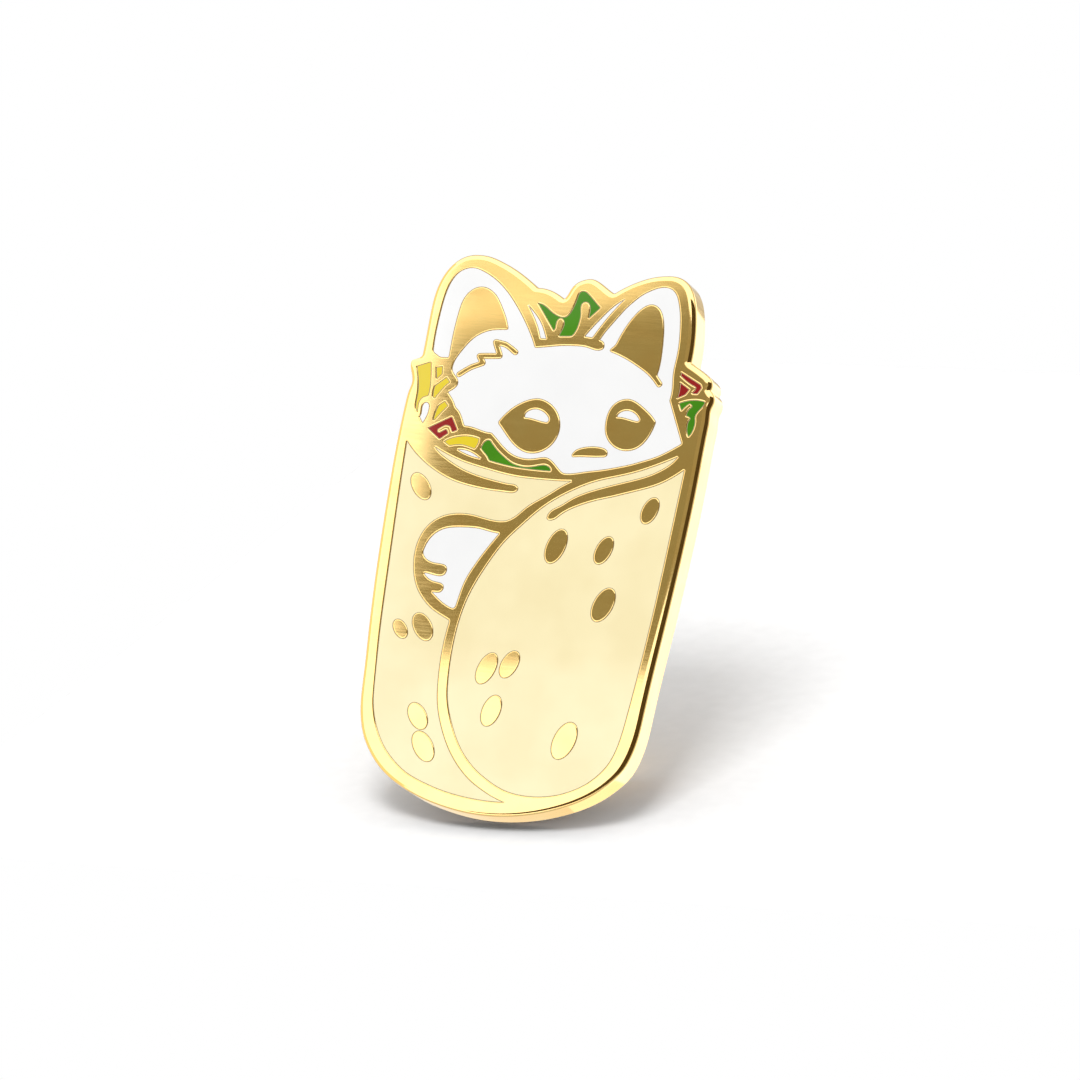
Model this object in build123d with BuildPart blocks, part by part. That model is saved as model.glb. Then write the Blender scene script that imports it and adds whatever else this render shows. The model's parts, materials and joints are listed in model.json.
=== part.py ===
"""Hard-enamel pin: a die-struck plate with enamel cells, two posts and two butterfly clutches.

Frame: the pin stands upright. +X is to the viewer's right across the art, +Z is up, and the art faces -Y.
The origin lies on the flat back face, so the plate fills y = -plate_thickness to 0 and the posts run along +Y.
"""
from build123d import *
import os

os.makedirs("parts", exist_ok=True)

# ---------------------------------------------------------------- driving dimensions, millimetres
plate_thickness = 2.2
front_edge_chamfer = 0.2        # polished bevel at the front rim
back_edge_chamfer = 0.12
cell_depth = 0.6                # how deep the die strikes each enamel cell
enamel_sink = 0.03              # enamel is polished to just below the metal lines

post_radius = 0.55
post_length = 8.0
post_base_radius = 1.6          # the base disc is let into the back face, flush with it
post_base_depth = 0.35
post_root_radius = 0.75         # solder fillet round the shaft's foot
post_point_length = 1.2
post_groove_depth = 0.12
post_groove_at = 6.2
post_groove_width = 0.5
post_x = -0.8
post_heights = {"upper": 8.0, "lower": -10.0}

cloth_gap = 2.1                 # cloth between the back face and the clutch
clutch_sheet = 0.4              # sheet of the cup and the bridge
cup_hole_radius = 0.8
cup_radius = 5.7
cup_floor = 0.45                # the floor's rise above the rim that meets the cloth
collar_inner_radius = 3.0
collar_outer_radius = 3.35
collar_height = 1.15
window_half_width = 2.4
bridge_height = 2.15            # clear height under the bridge
bridge_half_span = 2.6
bridge_width = 2.6

wing_sheet = 0.3
jaw_gap = 0.05                  # radial clearance from the post
jaw_half_width = 1.0
jaw_lift = 0.5                  # clear height of the jaw above the cup's floor
wing_hinge_radius = 2.75
wing_tip_radius = 6.2
wing_tip_height = 7.5           # behind the back face
wing_half_width = 2.6
wing_neck_half_width = 2.0
wing_corner_radius = 1.2

# ---------------------------------------------------------------- the art
# Each outline is a list of strokes. A stroke starts where the one before it ends, the first at the last one's end.
# A stroke of one point is a straight line, and a longer one is a smooth curve through its points.
rim = [
    [(-10.78, 13.0), (-10.77, 14.6), (-10.68, 16.0), (-10.4, 17.1), (-9.95, 17.92), (-9.4, 18.48), (-8.7, 18.83),
     (-8.0, 18.92), (-7.2, 18.84), (-6.3, 18.55), (-5.3, 18.1), (-4.4, 17.58), (-3.5, 16.97)],
    [(-3.0, 16.95), (-2.4, 16.8), (-1.9, 16.57), (-1.52, 16.35)],
    [(-1.3, 16.75), (-1.12, 17.15), (-0.8, 17.5), (-0.3, 17.75), (0.2, 17.82), (0.7, 17.65), (1.2, 17.35),
     (1.9, 16.95)],
    [(2.4, 17.3), (3.0, 17.65), (3.7, 17.98), (4.5, 18.25), (5.3, 18.38), (6.0, 18.38), (6.6, 18.18),
     (7.1, 17.75), (7.5, 17.05), (7.78, 16.1), (7.95, 15.1), (8.05, 14.0), (8.05, 12.65)],
    [(8.7, 12.3), (9.3, 11.93), (9.62, 11.65), (9.75, 11.3), (9.68, 10.93)],
    [(9.92, 10.7), (10.05, 10.35), (10.02, 9.98), (9.92, 9.65), (9.93, 9.2), (9.93, 8.0), (9.9, 6.5),
     (9.85, 4.0), (9.7, 0.5), (9.4, -4.2), (9.15, -7.5), (8.95, -10.5), (8.82, -12.3), (8.55, -13.6),
     (8.1, -14.65), (7.4, -15.5), (6.4, -16.35), (5.2, -17.05), (4.0, -17.55), (2.5, -18.0), (1.0, -18.28),
     (-0.7, -18.4), (-2.2, -18.33), (-4.0, -18.03), (-5.5, -17.62), (-7.0, -16.98), (-8.0, -16.4),
     (-8.8, -15.75), (-9.5, -14.95), (-10.1, -14.0), (-10.45, -13.1), (-10.7, -12.0), (-10.87, -10.0),
     (-11.05, -7.5), (-11.25, -4.5), (-11.38, -1.5), (-11.45, 1.0), (-11.5, 4.0), (-11.48, 6.5),
     (-11.4, 8.5), (-11.3, 9.4), (-11.2, 9.9), (-11.33, 10.5), (-11.48, 11.0), (-11.4, 11.4), (-11.1, 11.55),
     (-10.8, 11.8)],
]

head = [
    [(-10.02, 13.2), (-9.95, 14.8), (-9.8, 16.1), (-9.5, 17.05), (-9.1, 17.6), (-8.6, 17.88), (-8.1, 17.95),
     (-7.5, 17.8), (-6.8, 17.48), (-6.0, 16.95), (-5.0, 16.0), (-4.0, 14.75), (-3.05, 13.25), (-2.85, 12.85)],
    [(-2.0, 12.97), (-1.0, 13.12), (0.0, 13.18), (0.8, 13.13), (1.65, 13.0), (1.88, 13.12), (1.88, 13.4),
     (1.5, 13.6)],
    [(1.8, 14.2), (2.4, 15.1), (3.0, 15.95), (3.5, 16.5), (4.0, 16.95), (4.5, 17.25), (5.0, 17.47), (5.5, 17.55),
     (5.95, 17.45), (6.3, 17.15), (6.6, 16.55), (6.82, 15.8), (7.0, 14.7), (7.1, 13.2), (7.05, 11.7),
     (7.15, 10.8), (7.12, 9.98)],
    [(8.47, 7.15)],
    [(8.0, 6.82), (7.4, 6.43), (6.8, 6.1), (6.0, 5.78), (5.0, 5.42), (4.0, 5.15), (3.3, 4.97), (2.3, 4.78),
     (1.5, 4.6), (0.9, 4.52), (0.55, 4.57), (0.25, 4.8), (-0.05, 5.07), (-0.4, 5.35), (-0.8, 5.48),
     (-1.3, 5.4), (-1.9, 5.3), (-2.5, 5.33), (-3.0, 5.46), (-3.5, 5.72), (-4.0, 6.1), (-4.85, 6.84)],
    [(-5.5, 6.92), (-6.2, 7.1), (-6.85, 7.15)],
    [(-7.1, 7.65), (-7.35, 8.05), (-7.65, 8.33)],
    [(-7.9, 8.72), (-8.45, 9.37)],
    [(-8.05, 9.65), (-7.84, 9.95), (-7.88, 10.2), (-8.12, 10.5), (-8.42, 10.97)],
    [(-8.35, 11.5), (-8.0, 12.2), (-7.5, 12.93), (-7.1, 13.33), (-6.7, 13.58), (-6.2, 13.78), (-5.6, 13.88),
     (-4.98, 13.93)],
    [(-5.4, 14.9), (-5.8, 15.55), (-6.2, 16.1), (-6.6, 16.42), (-7.0, 16.6), (-7.4, 16.63), (-7.8, 16.5),
     (-8.2, 16.15), (-8.45, 15.7), (-8.6, 15.0), (-8.7, 14.0), (-8.75, 12.8), (-8.75, 11.68)],
    [(-9.4, 11.65)],
    [(-9.98, 12.0)],
]
right_inner_ear = [
    [(2.72, 13.32)],
    [(3.0, 14.0), (3.3, 14.7), (3.75, 15.45), (4.25, 16.0), (4.75, 16.22), (5.2, 16.05), (5.55, 15.55),
     (5.75, 14.9), (5.87, 14.0), (5.94, 13.0), (5.93, 12.1), (5.85, 11.55)],
    [(6.35, 11.0)],
    [(6.17, 10.86)],
    [(5.75, 11.3), (5.3, 11.68), (4.7, 12.05), (4.0, 12.42), (3.3, 12.73), (2.42, 13.02)],
]
left_eye = [
    [(-3.7, 8.52), (-3.1, 8.97), (-2.5, 9.24), (-1.95, 9.33), (-1.3, 9.15), (-0.75, 8.75), (-0.4, 8.25),
     (-0.22, 7.6), (-0.3, 6.95), (-0.6, 6.4), (-1.05, 6.02), (-1.6, 5.82), (-2.2, 5.83), (-2.8, 6.07),
     (-3.4, 6.53), (-4.43, 7.6)],
]
left_glint = [
    [(-2.72, 8.35), (-2.4, 8.64), (-2.0, 8.73), (-1.6, 8.65), (-1.2, 8.4), (-0.98, 8.05), (-1.1, 7.83)],
    [(-1.5, 7.87), (-2.1, 7.99), (-2.72, 8.04)],
]
right_eye = [
    [(6.25, 8.1), (6.08, 7.6), (5.8, 7.1), (5.4, 6.7), (4.9, 6.5), (4.3, 6.5), (3.8, 6.7), (3.4, 7.05),
     (3.12, 7.55), (3.03, 8.2), (3.1, 8.85), (3.35, 9.35), (3.78, 9.67), (4.3, 9.77), (4.8, 9.62), (5.3, 9.32),
     (5.8, 8.96), (6.33, 8.45)],
]
right_glint = [
    [(3.72, 8.82), (4.0, 9.04), (4.4, 9.11), (4.8, 9.0), (5.12, 8.75), (5.26, 8.5), (5.12, 8.38)],
    [(4.8, 8.42), (4.3, 8.52), (3.65, 8.56)],
]
mouth = [
    [(1.27, 6.09), (1.6, 6.26), (2.08, 6.38), (2.6, 6.42), (3.07, 6.37), (3.33, 6.23), (3.38, 6.06),
     (3.2, 5.93)],
    [(2.8, 5.89), (2.0, 5.85), (1.08, 5.77)],
]
tuft = [(-7.85, 10.62), (-7.1, 11.16), (-6.3, 11.52), (-6.65, 11.97), (-5.2, 12.08), (-5.68, 13.0),
        (-4.95, 12.88), (-4.15, 12.4)]
tuft_width = 0.3

paw = [
    [(-3.8, 0.32), (-4.6, 0.45), (-5.6, 0.44), (-6.5, 0.35), (-7.2, 0.1), (-7.75, -0.4), (-8.05, -1.0),
     (-8.15, -1.5)],
    [(-7.9, -1.9), (-7.4, -2.13), (-6.7, -2.2), (-6.36, -2.32), (-6.27, -2.57), (-6.4, -2.86), (-6.75, -2.95),
     (-7.85, -2.87)],
    [(-7.55, -3.17), (-7.1, -3.38), (-6.6, -3.46), (-6.34, -3.58), (-6.28, -3.78), (-6.4, -3.99),
     (-6.7, -4.06), (-7.08, -4.07)],
    [(-6.6, -4.45), (-6.1, -4.78), (-5.35, -5.1)],
    [(-5.18, -5.0)],
    [(-5.05, -4.2), (-4.9, -3.4), (-4.3, -1.95), (-3.8, -1.05), (-3.0, 0.22)],
]
left_wrap = [
    [(-10.63, 4.0), (-10.55, 2.0), (-10.42, -1.5), (-10.32, -4.0), (-10.1, -8.0), (-9.93, -10.0), (-9.7, -11.9),
     (-9.35, -13.0), (-8.9, -13.9), (-8.3, -14.75), (-7.5, -15.52), (-6.5, -16.2), (-5.5, -16.62),
     (-4.3, -17.0), (-3.0, -17.28), (-1.5, -17.46), (0.0, -17.5), (0.75, -17.45)],
    [(0.0, -17.25), (-1.0, -16.82), (-2.0, -16.25), (-3.0, -15.4), (-4.0, -14.15), (-4.7, -12.85),
     (-5.2, -11.5), (-5.45, -10.0), (-5.55, -8.5), (-5.52, -7.0), (-5.4, -5.85)],
    [(-6.0, -5.58), (-6.8, -5.17), (-7.5, -4.6), (-8.1, -3.85), (-8.5, -2.9), (-8.68, -1.8), (-8.6, -0.8),
     (-8.3, 0.0), (-7.8, 0.62), (-7.1, 1.05), (-6.2, 1.27), (-5.2, 1.27), (-4.2, 1.1), (-3.4, 1.0),
     (-2.7, 1.07), (-2.2, 1.35), (-1.5, 2.05), (-0.2, 3.0), (0.5, 3.53), (1.45, 4.12)],
    [(0.5, 4.06), (-1.0, 4.05), (-2.5, 4.1), (-3.5, 4.22), (-5.0, 4.5), (-6.5, 4.83), (-7.5, 5.17),
     (-8.75, 5.72)],
    [(-8.3, 5.27), (-7.5, 4.78), (-6.5, 4.3), (-5.5, 3.98), (-4.5, 3.76), (-3.5, 3.6), (-2.9, 3.53),
     (-2.5, 3.47), (-2.31, 3.24), (-2.5, 3.04), (-2.9, 3.0), (-4.0, 3.04), (-5.0, 3.13), (-6.0, 3.28),
     (-7.0, 3.52), (-8.0, 3.92),
     (-9.0, 4.48), (-9.9, 5.15), (-10.68, 5.95)],
]
right_wrap = [
    [(7.5, 5.87), (6.5, 5.4), (5.5, 5.0), (4.5, 4.68), (3.0, 4.22), (1.5, 3.5), (0.0, 2.5), (-0.8, 1.77),
     (-1.5, 1.0), (-2.5, -0.18), (-3.5, -1.9), (-4.25, -3.6), (-4.6, -4.8), (-4.8, -6.0), (-4.9, -7.8),
     (-4.83, -9.6), (-4.63, -11.0), (-4.0, -12.7), (-3.0, -14.37), (-2.3, -15.12), (-1.5, -15.75),
     (-0.7, -16.22), (0.2, -16.63), (1.2, -16.87), (2.2, -16.93), (3.2, -16.85), (4.2, -16.62), (5.0, -16.3),
     (5.8, -15.85), (6.5, -15.25), (7.1, -14.5), (7.5, -13.6), (7.78, -12.3), (7.93, -11.0), (8.12, -9.0),
     (8.5, -4.0), (8.75, 1.0), (8.95, 5.5)],
    [(8.3, 4.97), (7.5, 4.45), (6.6, 4.05), (5.5, 3.68), (4.3, 3.28), (3.2, 2.95), (2.3, 2.6), (1.5, 2.2),
     (0.9, 1.75), (0.4, 1.4), (0.1, 1.44), (0.12, 1.75), (0.8, 2.33), (1.5, 2.85), (2.3, 3.3), (3.2, 3.67),
     (4.3, 4.05), (5.5, 4.45), (6.5, 4.82), (7.3, 5.25), (7.9, 5.7), (8.38, 6.32)],
]

top_lettuce = [
    [(-2.95, 15.84), (-2.6, 15.68), (-2.2, 15.4), (-1.8, 15.17), (-1.4, 15.05), (-1.08, 15.08), (-0.85, 15.35),
     (-0.65, 15.85), (-0.45, 16.72)],
    [(-0.3, 16.87), (-0.08, 16.9), (0.2, 16.75), (0.7, 16.32), (1.27, 15.85)],
    [(0.5, 14.98)],
    [(0.5, 15.35), (0.47, 15.78), (0.35, 16.03), (0.13, 16.13), (-0.08, 16.03), (-0.13, 15.75), (-0.05, 15.3),
     (-0.05, 14.85), (-0.14, 14.3), (-0.42, 13.75)],
    [(-1.38, 13.68)],
    [(-1.26, 14.05), (-1.15, 14.5), (-1.22, 14.8), (-1.42, 14.92), (-1.6, 14.78), (-1.65, 14.4), (-1.76, 14.0)],
    [(-3.27, 15.88)],
]
lower_lettuce = [
    [(-3.8, 4.82), (-2.9, 4.69), (-2.0, 4.63), (-1.0, 4.6), (-0.2, 4.6)],
    [(-0.4, 4.92), (-0.68, 5.03), (-1.0, 5.0), (-1.5, 4.87), (-2.0, 4.8), (-2.5, 4.84), (-3.0, 4.97),
     (-3.5, 5.25), (-4.0, 5.6), (-4.72, 6.28)],
    [(-4.92, 6.4), (-5.15, 6.32), (-5.32, 6.08), (-5.42, 5.75)],
    [(-5.1, 5.47), (-4.85, 5.22), (-4.7, 4.98)],
]
right_lettuce = [
    [(8.1, 10.0), (8.5, 10.11), (9.0, 10.16), (9.58, 10.08)],
    [(9.4, 9.65), (9.17, 9.33), (9.06, 9.05)],
    [(9.12, 8.6), (9.08, 8.15), (8.8, 7.6)],
    [(8.63, 7.95), (8.56, 8.35), (8.6, 8.7)],
    [(8.7, 8.88)],
    [(8.52, 9.0)],
    [(8.38, 8.98)],
    [(8.4, 9.25), (8.5, 9.5)],
    [(8.7, 9.7)],
    [(8.52, 9.85)],
    [(8.25, 9.6), (8.02, 9.3)],
    [(7.73, 9.85)],
]
left_tomato = [
    [(-7.8, 7.78)],
    [(-7.22, 6.86)],
    [(-7.6, 6.68)],
    [(-7.95, 6.5), (-8.2, 6.3), (-8.4, 6.12)],
    [(-9.42, 6.85)],
]
left_tomato_vein = [(-8.52, 6.74), (-8.12, 7.0), (-7.92, 6.97), (-7.66, 6.5)]
left_tomato_vein_width = 0.22
right_tomato_upper = [
    [(9.05, 11.2)],
    [(9.17, 10.98)],
    [(8.93, 10.53)],
    [(8.58, 10.52)],
    [(8.5, 10.62)],
    [(8.68, 10.8), (8.72, 10.92), (8.62, 11.02)],
    [(7.55, 11.65)],
    [(7.55, 11.95)],
]
right_tomato_lower = [
    [(8.36, 10.82)],
    [(8.12, 10.42)],
    [(7.55, 10.12)],
    [(7.63, 10.7), (7.58, 11.27)],
]
cheese_strip = [
    [(-9.95, 11.37)],
    [(-9.82, 10.7), (-9.72, 10.0), (-9.68, 9.4), (-9.74, 8.97)],
    [(-10.05, 8.88), (-10.24, 8.68), (-10.3, 8.3), (-10.3, 7.8)],
    [(-10.5, 8.2), (-10.53, 8.8), (-10.56, 9.5), (-10.7, 10.2), (-10.95, 10.97)],
]
cheese_square = [
    [(-9.08, 11.1)],
    [(-9.0, 10.55)],
    [(-9.38, 10.15)],
    [(-9.56, 11.02)],
]
cheese_upper_chunk = [
    [(-8.68, 10.4)],
    [(-8.35, 10.05)],
    [(-8.8, 9.55), (-9.05, 9.17), (-9.25, 8.85)],
    [(-9.42, 8.95)],
    [(-9.45, 9.4), (-9.42, 9.75)],
]
cheese_lower_chunk = [
    [(-8.5, 8.78)],
    [(-8.18, 8.45)],
    [(-8.55, 8.0), (-8.95, 7.42)],
    [(-9.1, 7.35)],
    [(-9.05, 7.9), (-8.9, 8.45)],
]
cheese_arc = [
    [(-7.7, 6.27), (-7.2, 6.45), (-6.6, 6.55), (-6.0, 6.52), (-5.6, 6.42)],
    [(-5.62, 6.1), (-5.82, 5.67)],
    [(-6.3, 5.8), (-6.9, 5.88), (-7.3, 5.82), (-7.65, 5.75)],
    [(-8.08, 6.02)],
]
onion_oval = [
    [(-9.98, 7.35), (-10.12, 7.57)],
    [(-10.03, 7.85), (-10.05, 8.2), (-9.97, 8.48), (-9.78, 8.6), (-9.58, 8.5), (-9.5, 8.15), (-9.55, 7.7),
     (-9.78, 7.12)],
]
onion_top_left = [
    [(-3.35, 15.25), (-2.85, 14.72), (-2.43, 14.05), (-2.15, 13.45)],
    [(-2.62, 13.45)],
    [(-2.84, 14.0), (-3.16, 14.6), (-3.56, 15.2), (-3.98, 15.8)],
]
onion_top_right = [
    [(1.0, 14.65), (1.5, 15.3), (2.05, 15.95), (2.5, 16.35), (2.9, 16.62)],
    [(2.35, 15.9), (1.83, 15.15), (1.35, 14.35), (1.02, 13.75)],
    [(0.42, 13.8)],
]
onion_lower = [
    [(-6.7, 5.62), (-6.2, 5.55), (-5.7, 5.35), (-5.2, 5.05)],
    [(-5.9, 5.15), (-6.5, 5.33), (-7.08, 5.57)],
]

# Toast spots are raised ovals of bare metal: centre x, centre z, half length, half width, lean in degrees.
left_wrap_spots = [
    (-9.1, 2.9, 0.98, 0.5, -50),
    (-8.75, -6.72, 0.66, 0.36, -50),
    (-7.22, -6.45, 0.98, 0.54, -52),
    (-6.45, -12.37, 0.93, 0.52, -52),
    (-5.7, -14.32, 1.07, 0.58, -52),
]
right_wrap_spots = [
    (1.03, -0.33, 1.14, 0.6, 74),
    (4.36, -0.33, 0.92, 0.49, 70),
    (7.05, 2.55, 0.86, 0.48, 72),
    (4.97, -3.92, 1.13, 0.62, 70),
    (-2.27, -8.8, 1.04, 0.55, 70),
    (-0.74, -8.4, 0.9, 0.51, 68),
    (-1.44, -11.55, 1.0, 0.57, 76),
    (3.93, -13.05, 1.22, 0.69, 72),
]

# Every enamel cell: its outline, the outlines of the metal standing inside it, and its ovals.
cells = {
    "head_enamel": (head, [right_inner_ear, left_eye, right_eye, mouth], []),
    "left_glint_enamel": (left_glint, [], []),
    "right_glint_enamel": (right_glint, [], []),
    "paw_enamel": (paw, [], []),
    "left_wrap_enamel": (left_wrap, [], left_wrap_spots),
    "right_wrap_enamel": (right_wrap, [], right_wrap_spots),
    "top_lettuce_enamel": (top_lettuce, [], []),
    "lower_lettuce_enamel": (lower_lettuce, [], []),
    "right_lettuce_enamel": (right_lettuce, [], []),
    "left_tomato_enamel": (left_tomato, [], []),
    "right_tomato_upper_enamel": (right_tomato_upper, [], []),
    "right_tomato_lower_enamel": (right_tomato_lower, [], []),
    "cheese_strip_enamel": (cheese_strip, [], []),
    "cheese_square_enamel": (cheese_square, [], []),
    "cheese_upper_chunk_enamel": (cheese_upper_chunk, [], []),
    "cheese_lower_chunk_enamel": (cheese_lower_chunk, [], []),
    "cheese_arc_enamel": (cheese_arc, [], []),
    "onion_oval_enamel": (onion_oval, [], []),
    "onion_top_left_enamel": (onion_top_left, [], []),
    "onion_top_right_enamel": (onion_top_right, [], []),
    "onion_lower_enamel": (onion_lower, [], []),
}
raised_lines = {
    "head_enamel": (Polyline(*tuft), tuft_width),
    "left_tomato_enamel": (Polyline(*left_tomato_vein), left_tomato_vein_width),
}


def outline_face(plane, strokes):
    """A face bounded by the strokes of one outline."""
    with BuildSketch(plane) as face:
        with BuildLine():
            corner = strokes[-1][-1]
            for stroke in strokes:
                if len(stroke) == 1:
                    Line(corner, stroke[0])
                else:
                    Spline(corner, *stroke)
                corner = stroke[-1]
        make_face()
    return face.sketch


def cell_face(plane, name):
    """One enamel cell's face, without the metal that stands inside it."""
    strokes, islands, ovals = cells[name]
    with BuildSketch(plane) as face:
        add(outline_face(Plane.XY, strokes))
        for island in islands:
            add(outline_face(Plane.XY, island), mode=Mode.SUBTRACT)
        for x, z, half_length, half_width, lean in ovals:
            with Locations((x, z)):
                Ellipse(half_length, half_width, rotation=lean, mode=Mode.SUBTRACT)
        if name in raised_lines:
            centre_line, width = raised_lines[name]
            SlotArc(centre_line, width, mode=Mode.SUBTRACT)
    return face.sketch


def save(part, name):
    """Label a finished piece and write it as its own STEP file."""
    part.label = name
    export_step(part, f"parts/{name}.step")


# ---------------------------------------------------------------- struck plate
back_plane = Plane.XZ
front_plane = Plane.XZ.offset(plate_thickness)
enamel_plane = Plane.XZ.offset(plate_thickness - enamel_sink)

with BuildPart() as backplate:
    extrude(outline_face(back_plane, rim), amount=plate_thickness)
    chamfer(backplate.faces().sort_by(Axis.Y)[0].edges(), front_edge_chamfer)
    chamfer(backplate.faces().sort_by(Axis.Y)[-1].edges(), back_edge_chamfer)
    for cell_name in cells:
        extrude(cell_face(front_plane, cell_name), amount=-cell_depth, mode=Mode.SUBTRACT)
    with BuildSketch(back_plane):
        with Locations(*[(post_x, height) for height in post_heights.values()]):
            Circle(post_base_radius)
    extrude(amount=post_base_depth, mode=Mode.SUBTRACT)
save(backplate.part, "backplate")

# ---------------------------------------------------------------- enamel fills
for cell_name in cells:
    with BuildPart() as fill:
        extrude(cell_face(enamel_plane, cell_name), amount=-(cell_depth - enamel_sink))
    save(fill.part, cell_name)

# ---------------------------------------------------------------- posts
post_groove_radius = post_radius - post_groove_depth
post_point_at = post_length - post_point_length
post_tip_radius = 0.08


def axis_through(height):
    """The axis of a post and its clutch."""
    return Axis((post_x, 0, height), (0, 1, 0))


def turned_profile(height, points):
    """A half section for turning: the points are (radius, distance behind the back face)."""
    with BuildSketch(Plane((post_x, 0, height))) as section:
        with BuildLine():
            Polyline(*points, close=True)
        make_face()
    return section.sketch


for side, height in post_heights.items():
    with BuildPart() as post:
        profile = turned_profile(height, [
            (0, -post_base_depth),
            (post_base_radius, -post_base_depth),
            (post_base_radius, 0),
            (post_root_radius, 0),
            (post_radius, post_root_radius - post_radius),
            (post_radius, post_groove_at),
            (post_groove_radius, post_groove_at + 0.1),
            (post_groove_radius, post_groove_at + post_groove_width - 0.1),
            (post_radius, post_groove_at + post_groove_width),
            (post_radius, post_point_at),
            (post_tip_radius, post_length),
            (0, post_length),
        ])
        revolve(profile, axis=axis_through(height))
    save(post.part, f"{side}_post")

# ---------------------------------------------------------------- butterfly clutches
flange_front = cloth_gap
flange_top = flange_front + clutch_sheet
floor_bottom = flange_front + cup_floor
floor_top = floor_bottom + clutch_sheet
collar_top = floor_top + collar_height
bridge_underside = floor_top + bridge_height
bridge_top = bridge_underside + clutch_sheet
jaw_middle = floor_top + jaw_lift + wing_sheet / 2
wing_bends = [                  # the wing's middle line: distance from the axis, distance behind the back face
    (jaw_gap, jaw_middle),
    (2.2, jaw_middle),
    (wing_hinge_radius, jaw_middle + 0.95),
    (3.6, jaw_middle + 1.0),
    (wing_tip_radius, wing_tip_height),
]
wing_plan = [                   # half of the wing's plan: distance from the axis, half width
    (0.1, jaw_half_width),
    (2.0, jaw_half_width),
    (2.35, wing_neck_half_width),
    (3.6, wing_neck_half_width),
    (4.3, wing_half_width),
    (wing_tip_radius + 0.3, wing_half_width),
]


for side, height in post_heights.items():
    across = Plane((post_x, 0, height))                                     # +X and +Y, through the post's axis
    along = Plane((post_x, 0, height), x_dir=(0, 1, 0), z_dir=(1, 0, 0))    # +Y and +Z
    facing = Plane((post_x, 0, height), x_dir=(1, 0, 0), z_dir=(0, -1, 0))  # +X and +Z

    with BuildPart() as cup:
        profile = turned_profile(height, [
            (cup_hole_radius, floor_bottom),
            (3.3, floor_bottom),
            (4.1, flange_front),
            (5.2, flange_front),
            (cup_radius, flange_front + 0.35),
            (cup_radius, flange_front + 0.95),
            (cup_radius - 0.35, flange_front + 0.95),
            (cup_radius - 0.38, flange_front + 0.52),
            (5.05, flange_top),
            (4.27, flange_top),
            (3.47, floor_top),
            (collar_outer_radius, floor_top),
            (collar_outer_radius, collar_top),
            (collar_inner_radius, collar_top),
            (collar_inner_radius, floor_top),
            (cup_hole_radius, floor_top),
        ])
        revolve(profile, axis=axis_through(height))
        with Locations((post_x, floor_top + collar_height / 2 + 0.01, height)):
            Box(2 * collar_outer_radius + 1, collar_height, 2 * window_half_width, mode=Mode.SUBTRACT)
    save(cup.part, f"{side}_clutch_cup")

    with BuildPart() as bridge:
        with BuildSketch(along):
            with Locations(((floor_top + bridge_top) / 2, 0)):
                Rectangle(bridge_top - floor_top, 2 * bridge_half_span)
            with Locations(((floor_top + bridge_underside) / 2, 0)):
                Rectangle(bridge_height, 2 * (bridge_half_span - clutch_sheet), mode=Mode.SUBTRACT)
        extrude(amount=bridge_width / 2, both=True)
        fillet(bridge.edges().filter_by(Axis.X).group_by(Axis.Y)[-1], clutch_sheet * 0.9)
        with BuildSketch(facing):
            Circle(cup_hole_radius)
        extrude(amount=-bridge_top - 1, mode=Mode.SUBTRACT)
    save(bridge.part, f"{side}_clutch_bridge")

    for hand, outward in {"left": -1, "right": 1}.items():
        middle_line = Polyline(*[(outward * radius, back) for radius, back in wing_bends])
        with BuildPart() as wing:
            with BuildSketch(across):
                SlotArc(middle_line, wing_sheet)
            extrude(amount=wing_half_width, both=True)
            with BuildSketch(facing) as plan:
                with BuildLine():
                    near_edge = [(outward * radius, half) for radius, half in wing_plan]
                    far_edge = [(x, -z) for x, z in reversed(near_edge)]
                    Polyline(*near_edge, *far_edge, close=True)
                make_face()
                fillet(plan.vertices().group_by(Axis.X)[0 if outward < 0 else -1], wing_corner_radius)
                Circle(post_radius + jaw_gap, mode=Mode.SUBTRACT)
            extrude(amount=-wing_tip_height - 1, mode=Mode.INTERSECT)
        save(wing.part, f"{side}_clutch_{hand}_wing")
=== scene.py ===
"""Looks for the enamel pin: a polished gold plate, glossy enamel, posts and butterfly clutches.

The frame is the CAD's: the art faces -Y. Lengths are in millimetres unless they say metres, and turn to
metres where a mesh is made.
"""
import json
import math

import bpy
import numpy as np
from mathutils import Euler, Matrix, Vector, geometry


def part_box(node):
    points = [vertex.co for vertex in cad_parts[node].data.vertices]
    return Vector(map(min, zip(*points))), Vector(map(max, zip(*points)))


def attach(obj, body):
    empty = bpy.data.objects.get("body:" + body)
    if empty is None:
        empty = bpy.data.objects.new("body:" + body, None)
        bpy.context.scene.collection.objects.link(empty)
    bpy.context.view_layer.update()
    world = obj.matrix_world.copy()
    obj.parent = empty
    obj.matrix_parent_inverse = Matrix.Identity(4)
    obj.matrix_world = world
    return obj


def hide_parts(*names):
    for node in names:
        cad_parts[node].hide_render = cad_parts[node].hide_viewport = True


MM = 0.001                  # metres
THICKNESS = 2.2             # of the plate
FRONT_ROLL = 0.45           # radius of the polished roll round the front
BACK_ROLL = 0.22            # and round the back
PROUD = 0.02                # the posts' base discs stand this far out of the back
CELL_ROLL = 0.085           # radius of the metal's edge where it meets the enamel
CELL_DEPTH = 0.6
SINK = 0.03                 # the enamel lies this far below the metal
TUCK = 0.02                 # the enamel runs this far under the metal's edge
GROOVE = 0.035              # width of the enamel's sloped edge, painted dark brown as the shade in the groove between enamel and metal
ISLAND_LIP = 0.07           # plating and polish spread an island this far over the enamel
LINE_LIP = 0.02             # and a thin line or the metal round a cell this far
BROAD = 0.18                # an island is broad when its area is over this share of its outline's length
CORNER_TURN = math.radians(25)
SHEET_BEVEL = 0.05          # on the edges of the posts and clutches

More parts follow.
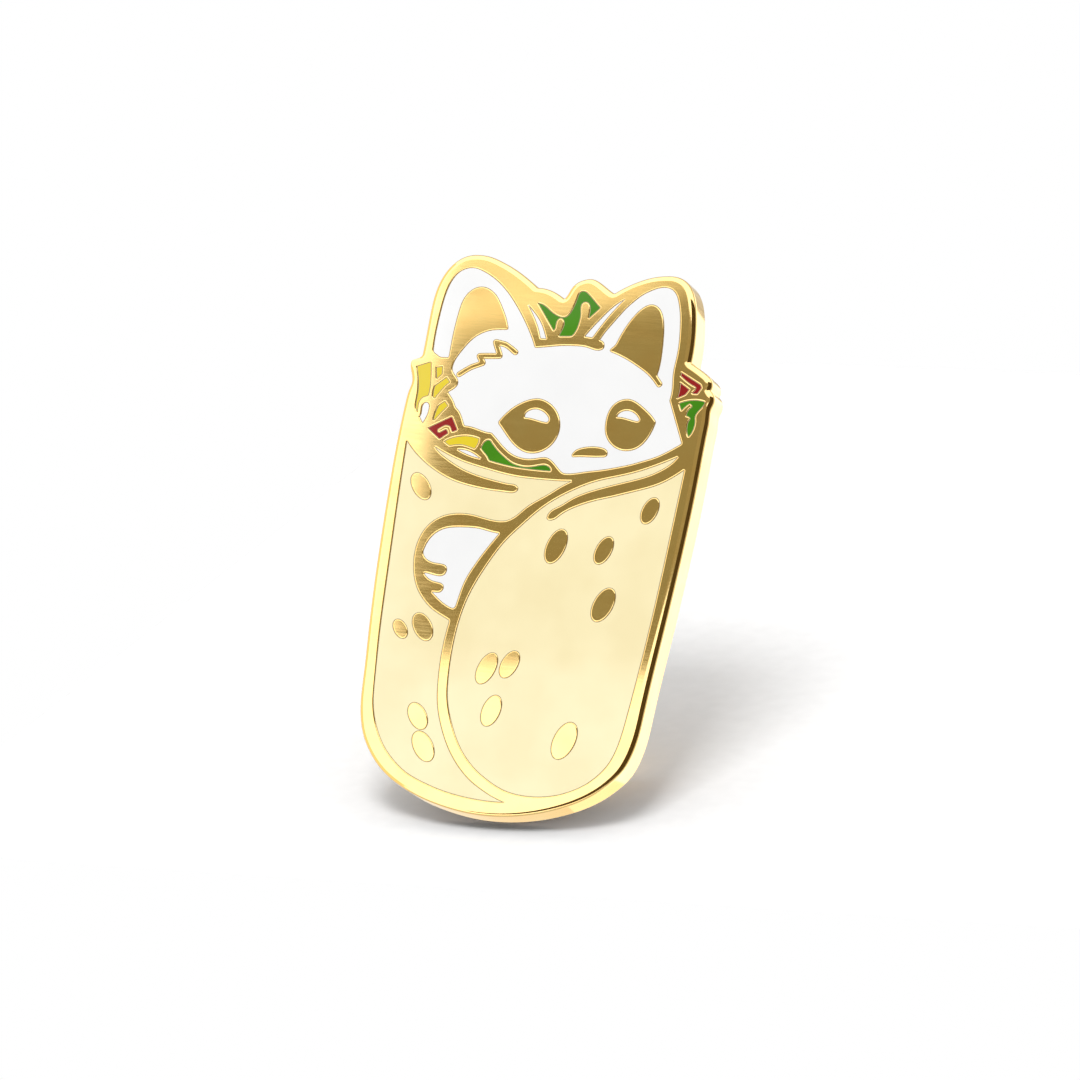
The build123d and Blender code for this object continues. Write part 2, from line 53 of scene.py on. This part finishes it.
CAMERA_AZIMUTH = 22.5       # degrees from straight in front of the art, towards +X
CAMERA_ELEVATION = -12.2
CAMERA_ROLL = 10
CAMERA_DISTANCE = 0.45      # metres
CAMERA_LENS = 231.6
CAMERA_SHIFT = -0.00185

BOARD_RISE = math.tan(math.radians(34))     # towards +Y: the pin leans back, its lower clutch just clear
BOARD_LEAN = 0.04           # rise towards +X
BOARD_GAP = 0.04            # under the plate's lowest point
SHADE_GAP = 0.02            # between the plate and the dark sheet round it
KEY_TOWARDS = Vector((0.04, -0.855, 0.517))
KEY_DISTANCE = 0.6          # metres
KEY_SIZE = 0.22             # metres
KEY_WATTS = 1.95

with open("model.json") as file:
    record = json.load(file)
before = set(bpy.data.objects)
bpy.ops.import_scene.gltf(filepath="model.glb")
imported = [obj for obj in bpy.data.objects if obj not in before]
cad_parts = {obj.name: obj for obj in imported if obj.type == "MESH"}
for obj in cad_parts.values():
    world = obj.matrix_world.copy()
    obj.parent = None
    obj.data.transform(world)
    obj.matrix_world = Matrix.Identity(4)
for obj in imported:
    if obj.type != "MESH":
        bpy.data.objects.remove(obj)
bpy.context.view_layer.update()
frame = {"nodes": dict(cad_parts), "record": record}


# ---------------------------------------------------------------- outlines read from the CAD nodes
def loops_at(node, depth):
    """The closed outlines of a CAD node at y = depth, as arrays of (x, z) in millimetres."""
    mesh = frame["nodes"][node].data
    corners = np.array([v.co for v in mesh.vertices]) / MM
    level = np.abs(corners[:, 1] - depth) < 1e-3
    name = [(round(x, 4), round(z, 4)) for x, _, z in corners]
    flat_uses = {}
    for face in mesh.polygons:
        flat = all(level[i] for i in face.vertices)
        for a, b in face.edge_keys:
            if level[a] and level[b] and name[a] != name[b]:
                edge = frozenset((name[a], name[b]))
                flat_uses[edge] = flat_uses.get(edge, 0) + flat
    neighbours = {}
    for edge, uses in flat_uses.items():
        if uses < 2:
            a, b = edge
            neighbours.setdefault(a, []).append(b)
            neighbours.setdefault(b, []).append(a)
    loops = []
    while neighbours:
        first = here = next(iter(neighbours))
        loop = [first]
        while True:
            onward = [n for n in neighbours.pop(here) if n in neighbours]
            if not onward:
                break
            here = onward[0]
            loop.append(here)
        loops.append(np.array(loop))
    return loops


def signed_area(loop):
    after = np.roll(loop, -1, 0)
    return ((loop[:, 0] * after[:, 1] - after[:, 0] * loop[:, 1]) / 2).sum()


def turns(loop):
    """How far a closed outline turns left at each of its points, in radians."""
    arrive, leave = loop - np.roll(loop, 1, 0), np.roll(loop, -1, 0) - loop
    return np.arctan2(arrive[:, 0] * leave[:, 1] - arrive[:, 1] * leave[:, 0], (arrive * leave).sum(1))


def along_cubic(run, spacing, closed):
    """Evenly spaced points along the natural cubic through a run of points, without the last one."""
    lap = 6 if closed else 0
    if closed:
        run = np.vstack([run[-lap:], run, run[:lap + 1]])
    at = np.r_[0, np.cumsum(np.linalg.norm(np.diff(run, axis=0), axis=1))]
    gap, count = np.diff(at), len(run)
    bend = np.zeros_like(run)
    if count > 2:
        matrix = np.diag(2 * (gap[:-1] + gap[1:])) + np.diag(gap[1:-1], 1) + np.diag(gap[1:-1], -1)
        slope = np.diff(run, axis=0) / gap[:, None]
        bend[1:-1] = np.linalg.solve(matrix, 6 * np.diff(slope, axis=0))
    start, end = at[lap], at[count - 1 - lap]
    place = np.linspace(start, end, max(2, math.ceil((end - start) / spacing)) + 1)
    i = np.clip(np.searchsorted(at, place, side="right") - 1, 0, count - 2)
    h, a, b = gap[i, None], (at[i + 1] - place)[:, None], (place - at[i])[:, None]
    points = (bend[i] * a ** 3 + bend[i + 1] * b ** 3) / (6 * h)
    points += (run[i] / h - bend[i] * h / 6) * a + (run[i + 1] / h - bend[i + 1] * h / 6) * b
    return points[:-1]


def smoothed(loop, metal_inside, lip=0.0):
    """A closed outline with smooth curves and softened corners, that runs with the metal on its left.

    The metal is spread by lip over what is outside it."""
    loop = loop[np.linalg.norm(loop - np.roll(loop, 1, 0), axis=1) > 2e-3]
    if (signed_area(loop) > 0) != metal_inside:
        loop = loop[::-1]
    length = np.linalg.norm(loop - np.roll(loop, 1, 0), axis=1).sum()
    spacing = float(np.clip(length / 150, 0.03, 0.07))
    corners = np.flatnonzero(np.abs(turns(loop)) > CORNER_TURN)
    if len(corners) == 0:
        points = along_cubic(loop, spacing, True)
    else:
        loop = np.roll(loop, -corners[0], 0)
        stops = [*(corners - corners[0]), len(loop)]
        loop = np.vstack([loop, loop[:1]])
        points = np.vstack([along_cubic(loop[a:b + 1], spacing, False) for a, b in zip(stops, stops[1:])])
    if lip:
        points = spread(points, lip)
    return (np.roll(points, 1, 0) + 2 * points + np.roll(points, -1, 0)) / 4


def spread(loop, lip):
    """The outline moved off the metal by lip, without the folds that tight corners would make."""
    moved = loop - towards_metal(loop) * lip
    along = np.roll(loop, -1, 0) - loop
    apart = moved[:, None] - loop[None]
    share = np.clip((apart * along).sum(2) / (along ** 2).sum(1), 0, 1)
    gap = np.linalg.norm(apart - share[..., None] * along, axis=2).min(1)
    return moved[gap > 0.97 * lip]


def towards_metal(loop):
    """Unit vectors from an outline's points into the metal on its left."""
    along = np.roll(loop, -1, 0) - np.roll(loop, 1, 0)
    along /= np.linalg.norm(along, axis=1)[:, None]
    return np.stack([-along[:, 1], along[:, 0]], 1)


def roll_widths(loop, radius):
    """How wide the roll is at each point: narrower where the metal's outline turns tighter than the roll."""
    step = np.linalg.norm(np.roll(loop, -1, 0) - np.roll(loop, 1, 0), axis=1) / 2
    width = np.minimum(radius, 0.7 * step / np.maximum(turns(loop), 1e-6))
    reach = max(1, round(0.8 * radius / step.mean()))
    width = np.min([np.roll(width, k) for k in range(-reach, reach + 1)], axis=0)
    for _ in range(3 * reach):
        width = (np.roll(width, 1) + 2 * width + np.roll(width, -1)) / 4
    return width[:, None]


def crossings(points, loops):
    """How many of the closed outlines each point is inside."""
    x, z = points[:, 0], points[:, 1]
    count = np.zeros(len(points), int)
    for loop in loops:
        for a, b in zip(loop, np.roll(loop, -1, 0)):
            if a[1] != b[1]:
                spans = (a[1] > z) != (b[1] > z)
                count += spans & (x < a[0] + (z - a[1]) * (b[0] - a[0]) / (b[1] - a[1]))
    return count


# ---------------------------------------------------------------- meshes with their own normals
class Shell:
    """Gathers points, normals and faces in millimetres, and turns them into one object."""

    def __init__(self):
        self.points, self.normals, self.faces, self.finish = [], [], [], []

    def ring(self, flat, depth, normal):
        """Adds an outline at y = depth. normal is (x, z, y) parts, one row for each point or one for all."""
        first = len(self.points)
        normal = np.broadcast_to(normal, (len(flat), 3))
        self.points += [(x, depth, z) for x, z in flat]
        self.normals += [(x, y, z) for x, z, y in normal]
        return np.arange(first, len(self.points))

    def band(self, inner, outer, finish=0):
        """Joins two rings that run with the metal on their left.

        inner is the ring nearer the metal or the front."""
        for a, b, c, d in zip(inner, np.roll(inner, -1), np.roll(outer, -1), outer):
            self.faces.append((d, c, b, a))
            self.finish.append(finish)

    def cap(self, rings, front=True, finish=0):
        """Fills between flat rings at one depth by the even-odd rule."""
        loops = [np.array([self.points[i] for i in ring])[:, ::2] for ring in rings]
        flat, index = np.vstack(loops), np.concatenate(rings)
        ends, first = [], 0
        for loop in loops:
            ends += [(first + k, first + (k + 1) % len(loop)) for k in range(len(loop))]
            first += len(loop)
        flat = [Vector(p) for p in flat]
        made, _, triangles, source, _, _ = geometry.delaunay_2d_cdt(flat, ends, [], 0, 1e-7)
        depth, normal = self.points[index[0]][1], (0, 0, -1 if front else 1)
        lookup = [index[s[0]] if s else self.ring([tuple(p)], depth, normal)[0]
                  for p, s in zip(made, source)]
        made = np.array([tuple(p) for p in made])
        middles = np.array([made[list(t)].mean(0) for t in triangles])
        for triangle, count in zip(triangles, crossings(middles, loops)):
            if count % 2:
                face = [lookup[i] for i in triangle]
                self.faces.append(face if front else face[::-1])
                self.finish.append(finish)

    def make(self, name, *materials):
        mesh = bpy.data.meshes.new(name)
        faces = [[int(i) for i in face] for face in self.faces]
        mesh.from_pydata([[c * MM for c in p] for p in self.points], [], faces)
        for material in materials:
            mesh.materials.append(material)
        mesh.polygons.foreach_set("material_index", self.finish)
        mesh.shade_smooth()
        mesh.normals_split_custom_set_from_vertices([Vector(n).normalized() for n in self.normals])
        thing = bpy.data.objects.new(name, mesh)
        bpy.context.scene.collection.objects.link(thing)
        return thing


def roll(shell, loop, radius, depth, steps, finish=0, from_front=True):
    """Adds the rings of a quarter-round edge to a shell, from the flat face to the wall, and joins them."""
    inward, width = towards_metal(loop), roll_widths(loop, radius)
    rings = []
    for angle in np.linspace(0, math.pi / 2, steps + 1):
        sine, cosine = math.sin(angle), math.cos(angle)
        side = 1 if from_front else -1
        away = np.hstack([-inward * sine, np.full((len(loop), 1), -side * cosine)])
        fall = side * radius * (1 - cosine)
        rings.append(shell.ring(loop + inward * width * (1 - sine), depth + fall, away))
    for inner, outer in zip(rings, rings[1:]):
        shell.band(*((inner, outer) if from_front else (outer, inner)), finish)
    return rings[0], rings[-1]


# ---------------------------------------------------------------- materials
def material(name, finish_with, metallic=0.0, ior=1.5, **fixed):
    """A principled material.

    finish_with(nodes, links, shader, place) adds its detail, and fixed sets sockets."""
    made = bpy.data.materials.new(name)
    made.use_nodes = True
    nodes, links = made.node_tree.nodes, made.node_tree.links
    shader = nodes["Principled BSDF"]
    shader.inputs["Metallic"].default_value = metallic
    shader.inputs["IOR"].default_value = ior
    for socket, value in fixed.items():
        shader.inputs[socket.replace("_", " ")].default_value = value
    place = nodes.new("ShaderNodeTexCoord").outputs["Object"]
    finish_with(nodes, links, shader, place)
    return made


def noise(nodes, links, place, scale, detail=2.0, stretch=(1, 1, 1)):
    """A noise texture's factor, with scale features for each metre, multiplied by stretch along each axis."""
    mapping = nodes.new("ShaderNodeMapping")
    mapping.inputs["Scale"].default_value = stretch
    links.new(place, mapping.inputs["Vector"])
    texture = nodes.new("ShaderNodeTexNoise")
    texture.inputs["Scale"].default_value = scale
    texture.inputs["Detail"].default_value = detail
    links.new(mapping.outputs["Vector"], texture.inputs["Vector"])
    return texture.outputs["Fac"]


def ranged(nodes, links, factor, low, high, start=0.3, end=0.7):
    """Maps a factor to a range of numbers."""
    mapped = nodes.new("ShaderNodeMapRange")
    mapped.inputs["From Min"].default_value = start
    mapped.inputs["From Max"].default_value = end
    mapped.inputs["To Min"].default_value = low
    mapped.inputs["To Max"].default_value = high
    links.new(factor, mapped.inputs["Value"])
    return mapped.outputs["Result"]


def ramp(nodes, links, factor, *stops):
    """Maps a factor to colours: each stop is (place, (red, green, blue))."""
    made = nodes.new("ShaderNodeValToRGB")
    elements = made.color_ramp.elements
    while len(elements) < len(stops):
        elements.new(0.5)
    for element, (at, colour) in zip(elements, stops):
        element.position = at
        element.color = (*colour, 1)
    links.new(factor, made.inputs["Fac"])
    return made.outputs["Color"]


def bumped(nodes, links, shader, layers):
    """Chains bump layers into the shader's normal: each is (height, strength, distance in millimetres)."""
    normal = None
    for height, strength, distance in layers:
        bump = nodes.new("ShaderNodeBump")
        bump.inputs["Strength"].default_value = strength
        bump.inputs["Distance"].default_value = distance * MM
        links.new(height, bump.inputs["Height"])
        if normal:
            links.new(normal, bump.inputs["Normal"])
        normal = bump.outputs["Normal"]
    links.new(normal, shader.inputs["Normal"])


def polished_gold(nodes, links, shader, place):
    streaks = noise(nodes, links, place, 9000, 3, (0.05, 1, 1))
    waves = noise(nodes, links, place, 350, 1)
    tone = noise(nodes, links, place, 500, 2)
    links.new(ramp(nodes, links, tone, (0.3, (1.0, 0.69, 0.27)), (0.7, (1.0, 0.73, 0.31))),
              shader.inputs["Base Color"])
    links.new(ranged(nodes, links, streaks, 0.06, 0.1), shader.inputs["Roughness"])
    bumped(nodes, links, shader, [(streaks, 0.03, 0.004), (waves, 0.08, 0.006)])


def pebbled_gold(nodes, links, shader, place):
    grain = noise(nodes, links, place, 5000, 2)
    tone = noise(nodes, links, place, 400, 2)
    links.new(ramp(nodes, links, tone, (0.3, (0.93, 0.63, 0.26)), (0.7, (1.0, 0.7, 0.31))),
              shader.inputs["Base Color"])
    links.new(ranged(nodes, links, grain, 0.28, 0.42), shader.inputs["Roughness"])
    bumped(nodes, links, shader, [(grain, 0.5, 0.03)])


def enamel_of(low, high):
    """The detail of a polished enamel whose colour varies a little between two colours."""
    def finish(nodes, links, shader, place):
        tone = noise(nodes, links, place, 260, 2)
        waves = noise(nodes, links, place, 420, 1)
        links.new(ramp(nodes, links, tone, (0.35, low), (0.65, high)), shader.inputs["Base Color"])
        links.new(ranged(nodes, links, waves, 0.05, 0.1), shader.inputs["Roughness"])
        bumped(nodes, links, shader, [(waves, 0.15, 0.01)])
    return finish


gold = material("gold_plate_polished", polished_gold, metallic=1.0)
gold_back = material("gold_plate_pebbled", pebbled_gold, metallic=1.0)
clutch_gold = material("clutch_brass_sheet", polished_gold, metallic=1.0)


# painted shade: a dark brown that stands in for the shade in the shallow groove round each enamel fill
def painted_groove_shade(nodes, links, shader, place):
    grain = noise(nodes, links, place, 6000, 2)
    links.new(ramp(nodes, links, grain, (0.3, (0.3, 0.23, 0.11)), (0.7, (0.4, 0.31, 0.16))),
              shader.inputs["Base Color"])


groove_shade_paint = material("enamel_groove_painted_shade", painted_groove_shade, Roughness=0.6)
ENAMELS = {
    "white_enamel": ((0.81, 0.81, 0.81), (0.83, 0.83, 0.83)),
    "cream_enamel": ((0.84, 0.73, 0.43), (0.88, 0.78, 0.48)),
    "yellow_enamel": ((0.7, 0.54, 0.02), (0.74, 0.58, 0.03)),
    "green_enamel": ((0.04, 0.2, 0.004), (0.06, 0.25, 0.006)),
    "red_enamel": ((0.25, 0.006, 0.008), (0.3, 0.01, 0.012)),
}
enamels = {slot: material(slot, enamel_of(*colours)) for slot, colours in ENAMELS.items()}

# ---------------------------------------------------------------- struck plate and enamel
slot_of = {part["node"]: part["material_slot"] for part in frame["record"]["subparts"]}
fills = {}
for node, slot in slot_of.items():
    if slot in enamels:
        loops = sorted(loops_at(node, SINK - THICKNESS), key=lambda loop: -abs(signed_area(loop)))
        fills[node] = []
        for k, loop in enumerate(loops):
            edge_length = np.linalg.norm(loop - np.roll(loop, 1, 0), axis=1).sum()
            broad = k > 0 and abs(signed_area(loop)) > BROAD * edge_length
            fills[node].append(smoothed(loop, k > 0, ISLAND_LIP if broad else LINE_LIP))

plate = Shell()
rim = smoothed(max(loops_at("backplate", 0.2 - THICKNESS), key=lambda loop: abs(signed_area(loop))), True)
front_edge, wall_front = roll(plate, rim, FRONT_ROLL, -THICKNESS, 8)
back_edge, wall_back = roll(plate, rim, BACK_ROLL, -PROUD, 4, from_front=False)
plate.band(wall_front, wall_back)
cell_edges = []
for loops in fills.values():
    for loop in loops:
        edge, lip = roll(plate, loop, CELL_ROLL, -THICKNESS, 5)
        away = np.hstack([-towards_metal(loop), np.zeros((len(loop), 1))])
        plate.band(lip, plate.ring(loop, CELL_DEPTH - THICKNESS, away))
        cell_edges.append(edge)
plate.cap([front_edge, *cell_edges])
plate.cap([back_edge], front=False, finish=1)
piece = plate.make("struck_plate", gold, gold_back)
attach(piece, "pin")
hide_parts("backplate")

for node, loops in fills.items():
    fill = Shell()
    tops, floors = [], []
    for loop in loops:
        wide = loop + towards_metal(loop) * TUCK
        away = np.hstack([towards_metal(loop), np.zeros((len(loop), 1))])
        top = fill.ring(loop - towards_metal(loop) * GROOVE, SINK - THICKNESS, (0, 0, -1))
        # the fill's sloped edge into the groove takes the second material, its painted groove shade
        fill.band(fill.ring(wide, SINK + TUCK - THICKNESS, (0, 0, -1)), top, finish=1)
        tops.append(top)
        floors.append(fill.ring(wide, CELL_DEPTH - THICKNESS, (0, 0, 1)))
        side = fill.ring(wide, CELL_DEPTH - THICKNESS, away)
        fill.band(side, fill.ring(wide, SINK + TUCK - THICKNESS, away))
    fill.cap(tops)
    fill.cap(floors, front=False)
    piece = fill.make(node.replace("enamel", "fill"), enamels[slot_of[node]], groove_shade_paint)
    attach(piece, "pin")
    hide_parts(node)

# ---------------------------------------------------------------- posts and clutches
for node, slot in slot_of.items():
    if node.endswith("_post") or slot == "clutch_brass":
        part = frame["nodes"][node]
        part.data.materials[0] = clutch_gold if slot == "clutch_brass" else gold
        part.data.shade_smooth()
        weld = part.modifiers.new("weld", "WELD")
        weld.merge_threshold = 1e-6
        bevel = part.modifiers.new("bevel", "BEVEL")
        bevel.width = SHEET_BEVEL * MM
        bevel.segments = 2
        bevel.limit_method = "ANGLE"
        bevel.angle_limit = math.radians(35)
        bevel.harden_normals = True

# ---------------------------------------------------------------- camera
camera_data = bpy.data.cameras.new("camera")
camera = bpy.data.objects.new("camera", camera_data)
bpy.context.scene.collection.objects.link(camera)
target = Vector((0, -THICKNESS * MM, 0))
facing = Euler((math.radians(90 - CAMERA_ELEVATION), 0, math.radians(CAMERA_AZIMUTH))).to_matrix()
turned = facing @ Matrix.Rotation(math.radians(CAMERA_ROLL), 3, "Z")
camera.matrix_world = Matrix.Translation(target + turned.col[2] * CAMERA_DISTANCE) @ turned.to_4x4()
camera_data.sensor_width = 36
camera_data.lens = CAMERA_LENS
camera_data.shift_x = CAMERA_SHIFT
camera_data.clip_start, camera_data.clip_end = 0.01, 10
bpy.context.scene.camera = camera

# ---------------------------------------------------------------- board, lights and reflected cards
world = bpy.data.worlds.new("world")
bpy.context.scene.world = world
world.use_nodes = True
world.node_tree.nodes["Background"].inputs["Color"].default_value = (1, 1, 1, 1)
world.node_tree.nodes["Background"].inputs["Strength"].default_value = 1.0
bpy.context.scene.view_settings.view_transform = "Standard"


def board_detail(nodes, links, shader, place):
    grain = noise(nodes, links, place, 900, 3)
    links.new(ramp(nodes, links, grain, (0.3, (0.89, 0.89, 0.89)), (0.7, (0.92, 0.92, 0.92))),
              shader.inputs["Base Color"])
    bumped(nodes, links, shader, [(grain, 0.05, 0.02)])
    # only the board's top shows, so that it hides nothing of the pin from below
    one_sided = nodes.new("ShaderNodeMixShader")
    links.new(nodes.new("ShaderNodeNewGeometry").outputs["Backfacing"], one_sided.inputs["Fac"])
    links.new(shader.outputs["BSDF"], one_sided.inputs[1])
    links.new(nodes.new("ShaderNodeBsdfTransparent").outputs["BSDF"], one_sided.inputs[2])
    links.new(one_sided.outputs["Shader"], nodes["Material Output"].inputs["Surface"])


def quad(name, corners, paint):
    """A flat four-cornered sheet."""
    mesh = bpy.data.meshes.new(name)
    mesh.from_pydata([[c * MM for c in corner] for corner in corners], [], [(0, 1, 2, 3)])
    mesh.materials.append(paint)
    thing = bpy.data.objects.new(name, mesh)
    bpy.context.scene.collection.objects.link(thing)
    return thing


def glow(name, colour, cloud=None):
    """A material that only shines, cloudy between two colours when a second is given."""
    made = bpy.data.materials.new(name)
    made.use_nodes = True
    nodes, links = made.node_tree.nodes, made.node_tree.links
    emission = nodes.new("ShaderNodeEmission")
    emission.inputs["Color"].default_value = (*colour, 1)
    if cloud:
        place = nodes.new("ShaderNodeTexCoord").outputs["Object"]
        clouds = noise(nodes, links, place, 120, 4, (0.5, 1, 2.0))
        links.new(ramp(nodes, links, clouds, (0.35, colour), (0.62, cloud)), emission.inputs["Color"])
    links.new(emission.outputs["Emission"], nodes["Material Output"].inputs["Surface"])
    return made


def seen_only_by(thing, seen_by):
    """Hides a thing from every kind of ray but one: "glossy" for reflections, "diffuse" for matt surfaces."""
    for ray in ("camera", "diffuse", "glossy", "shadow", "transmission", "volume_scatter"):
        setattr(thing, f"visible_{ray}", ray == seen_by)


def card(name, corners, colour, cloud=None):
    """A shining card that only shows in reflections."""
    seen_only_by(quad(name, corners, glow(name, colour, cloud)), "glossy")


def dome(name, radius, brightness, seen_by):
    """A shining dome round everything, radius in metres."""
    bpy.ops.mesh.primitive_uv_sphere_add(segments=48, ring_count=24, radius=radius)
    made = bpy.context.object
    made.name = name
    made.data.materials.append(glow(name, (brightness,) * 3))
    seen_only_by(made, seen_by)
    return made


def on_board(x, y):
    """The point of the board at x and y."""
    return x, y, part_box("backplate")[0].z / MM - BOARD_GAP + x * BOARD_LEAN + y * BOARD_RISE


board = quad("board", [on_board(-40, -9), on_board(70, -9), on_board(70, 80), on_board(-40, 80)],
             material("board_white", board_detail, Roughness=0.8))
board.visible_glossy = False

# in front, reflected in the plate's flat face as its darker gold
card("centre_card", [(-48.5, -92, 11), (-20, -92, 11), (-20, -92, 45), (-48.5, -92, 36)],
     (0.3, 0.275, 0.166))
card("bridge_card", [(-20, -92, 11), (85, -92, 14), (85, -92, 60), (-20, -92, 42)], (0.36, 0.32, 0.2))
card("upper_card", [(-49.5, -94, 30), (-8, -94, 30), (-8, -94, 62), (-49.5, -94, 62)],
     (0.42, 0.38, 0.25), (1.25, 1.2, 1.0))
# below and at the sides, reflected in the roll round the front
card("right_card", [(150, -250, -260), (300, 100, -260), (300, 100, 200), (150, -250, 200)],
     (0.08, 0.055, 0.02))
card("low_card", [(-100, -62, -200), (260, -260, -200), (330, 80, -200), (-100, -28, -200)],
     (0.1, 0.07, 0.03))
card("left_card", [(-300, -160, -260), (-300, 300, -260), (-300, 300, 260), (-300, -160, 260)],
     (1.15, 1.0, 0.7))
# behind, reflected in the wall and the back
card("wall_card", [(11, 12, -28), (21, 12, -28), (21, 12, 30), (11, 12, 30)], (2.0, 1.95, 1.9))
card("corner_card", [(3, 12, -28), (11, 12, -28), (11, 12, -8), (3, 12, -8)], (1.4, 1.3, 1.1))
card("under_card", [(-18, 12, -28), (3, 12, -28), (3, 12, -13), (-18, 12, -13)], (1.0, 0.93, 0.78))
card("back_card", [(-900, 200, -900), (900, 200, -900), (900, 200, 900), (-900, 200, 900)],
     (0.5, 0.49, 0.47), (0.85, 0.83, 0.8))

# a dark sheet close round the wall and back that only matt surfaces see, so that the gold throws no warm
# light onto the board
shade = Shell()
around = rim - towards_metal(rim) * SHADE_GAP
shade_front = shade.ring(around, 0.1 - THICKNESS, (0, 0, 1))
shade_back = shade.ring(around, SHADE_GAP, (0, 0, 1))
shade.band(shade_front, shade_back)
shade.cap([shade_back], front=False)
pin_shade = shade.make("pin_shade", glow("pin_shade", (0, 0, 0)))
seen_only_by(pin_shade, "diffuse")

# reflections see a brighter sky than the world, so that rolled edges shine nearly white, and matt surfaces
# see a dimmer one, so that the key light casts a clear shadow
dome("dome", 1.5, 1.8, "glossy")
fill_dome = dome("fill_dome", 1.6, 0.72, "diffuse")
fill_dome.data.materials[0].cycles.emission_sampling = "NONE"

key_data = bpy.data.lights.new("key", "AREA")
key_data.shape = "SQUARE"
key_data.size = KEY_SIZE
key_data.energy = KEY_WATTS
key = bpy.data.objects.new("key", key_data)
bpy.context.scene.collection.objects.link(key)
key.location = target + KEY_TOWARDS * KEY_DISTANCE
key.rotation_euler = (key.location - target).to_track_quat("Z", "Y").to_euler()
key.visible_camera = False
key.visible_glossy = False
